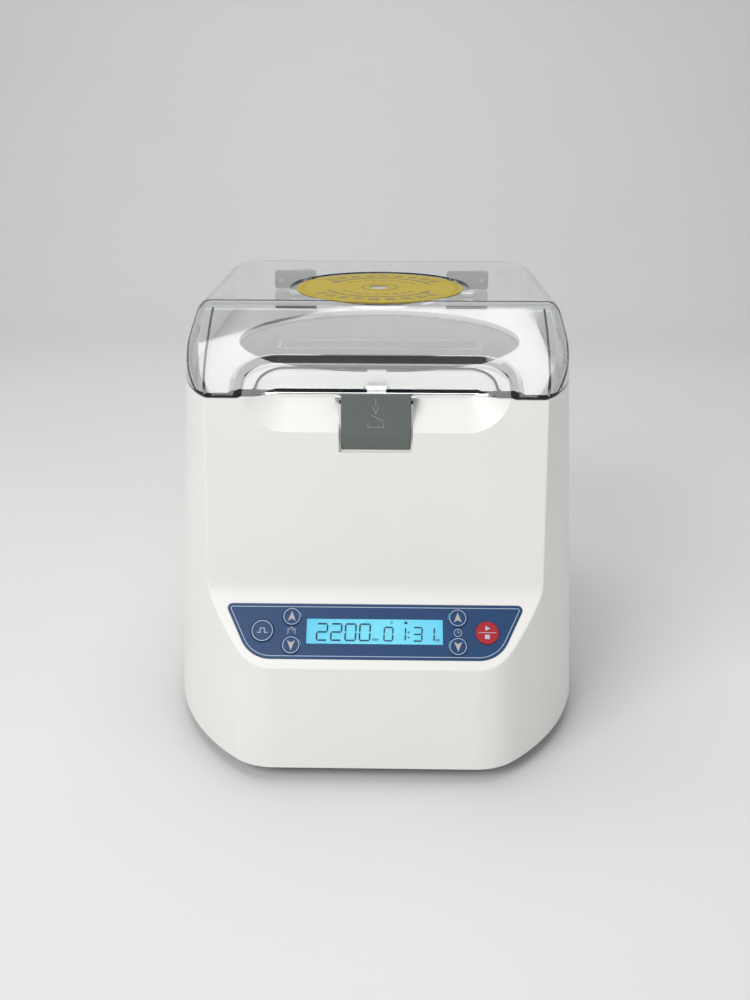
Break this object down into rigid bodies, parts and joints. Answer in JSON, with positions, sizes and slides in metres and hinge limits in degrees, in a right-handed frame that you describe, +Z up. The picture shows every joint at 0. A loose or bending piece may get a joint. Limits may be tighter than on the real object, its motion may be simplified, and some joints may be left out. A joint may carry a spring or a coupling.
{
  "type": "microplate centrifuge",
  "caption": "Benchtop microplate centrifuge with a clear hinged lid, push latch, round spin chamber, swing-free plate rotor and a sloped keypad with display.",
  "frame": {"origin": "on the table, under the middle of the casing's plan outline", "axes": "+Z up, front with the control panel towards -Y, +X to the right of a person facing the front"},
  "size_m": [0.24, 0.298, 0.2336],
  "materials": {
    "casing_plastic": "warm white moulded",
    "lid_clear": "clear moulded",
    "label_print": "printed",
    "overlay_blue": "printed film",
    "window_clear": "clear",
    "display_glass": "backlit",
    "key_blue": "smooth",
    "key_red": "smooth",
    "latch_grey": "textured",
    "bowl_grey": "moulded",
    "rotor_grey": "moulded",
    "steel": "plain",
    "screw_steel": "plated",
    "aluminium": "plain",
    "copper": "wound",
    "black_rubber": "soft",
    "board_green": "lacquered",
    "black_plastic": "moulded",
    "cable_black": "sheathed",
    "ribbon_grey": "flat",
    "nickel": "plated"
  },
  "bodies": {
    "housing": {"base_plate": "steel", "base_screws": "screw_steel", "board_spacers": "nickel", "bowl_screws": "screw_steel", "bracket_screws": "screw_steel", "casing": "casing_plastic", "casing_hinge_brackets": "casing_plastic", "chamber_bowl": "bowl_grey", "chamber_gasket": "black_rubber", "control_board": "board_green", "control_board_screws": "screw_steel", "control_board_spacers": "nickel", "control_overlay": "overlay_blue", "display_module": "display_glass", "display_ribbon": "ribbon_grey", "display_window": "window_clear", "drive_board": "board_green", "drive_board_screws": "screw_steel", "drive_components": "black_plastic", "foot_nuts": "screw_steel", "foot_screws": "screw_steel", "hinge_pins": "steel", "key_switches": "black_plastic", "latch_pin": "steel", "latch_spring": "steel", "lid_switch": "black_plastic", "motor_bearings": "steel", "motor_bracket": "steel", "motor_can": "steel", "motor_lead": "cable_black", "motor_posts": "aluminium", "motor_screws": "screw_steel", "motor_windings": "copper", "post_screws": "screw_steel", "power_inlet": "black_plastic", "power_lead": "cable_black", "rubber_feet": "black_rubber", "switch_bracket": "steel", "switch_frame": "black_plastic", "vibration_mounts": "black_rubber"},
    "lid": {"lid_shell": "lid_clear", "lid_label": "label_print", "lid_striker": "lid_clear", "lid_hinge_leaves": "lid_clear", "lid_hinge_screws": "screw_steel"},
    "rotor_body": {"rotor": "rotor_grey", "rotor_nut": "black_plastic", "motor_shaft": "steel", "motor_armature": "copper"},
    "latch_button_body": {"latch_button": "latch_grey"},
    "short_key_body": {"short_key": "key_blue"},
    "start_stop_key_body": {"start_stop_key": "key_red"},
    "speed_up_key_body": {"speed_up_key": "key_blue"},
    "speed_down_key_body": {"speed_down_key": "key_blue"},
    "timer_up_key_body": {"timer_up_key": "key_blue"},
    "timer_down_key_body": {"timer_down_key": "key_blue"},
    "power_rocker_body": {"power_rocker": "black_plastic"}
  },
  "joints": [
    {"name": "lid_hinge", "type": "hinge", "parent": "housing", "child": "lid", "pos_m": [0, 0.1443, 0.2056], "axis": [-1, 0, 0], "range_deg": [0, 80]},
    {"name": "latch_pivot", "type": "hinge", "parent": "housing", "child": "latch_button_body", "pos_m": [0, -0.099, 0.1986], "axis": [1, 0, 0], "range_deg": [0, 7], "stiffness_Nm_per_rad": 0.6},
    {"name": "rotor_spin", "type": "hinge", "parent": "housing", "child": "rotor_body", "pos_m": [0, 0.0307, 0.1], "axis": [0, 0, 1], "continuous": true},
    {"name": "power_rocker_pivot", "type": "hinge", "parent": "housing", "child": "power_rocker_body", "pos_m": [-0.072, 0.14425, 0.036], "axis": [-1, 0, 0], "range_deg": [0, 20]},
    {"name": "short_key_press", "type": "slide", "parent": "housing", "child": "short_key_body", "axis": [0, 0.7337, -0.6794], "range_m": [0, 0.0004], "stiffness_N_per_m": 600},
    {"name": "start_stop_key_press", "type": "slide", "parent": "housing", "child": "start_stop_key_body", "axis": [0, 0.7337, -0.6794], "range_m": [0, 0.0004], "stiffness_N_per_m": 600},
    {"name": "speed_up_key_press", "type": "slide", "parent": "housing", "child": "speed_up_key_body", "axis": [0, 0.7337, -0.6794], "range_m": [0, 0.0004], "stiffness_N_per_m": 600},
    {"name": "speed_down_key_press", "type": "slide", "parent": "housing", "child": "speed_down_key_body", "axis": [0, 0.7337, -0.6794], "range_m": [0, 0.0004], "stiffness_N_per_m": 600},
    {"name": "timer_up_key_press", "type": "slide", "parent": "housing", "child": "timer_up_key_body", "axis": [0, 0.7337, -0.6794], "range_m": [0, 0.0004], "stiffness_N_per_m": 600},
    {"name": "timer_down_key_press", "type": "slide", "parent": "housing", "child": "timer_down_key_body", "axis": [0, 0.7337, -0.6794], "range_m": [0, 0.0004], "stiffness_N_per_m": 600}
  ]
}
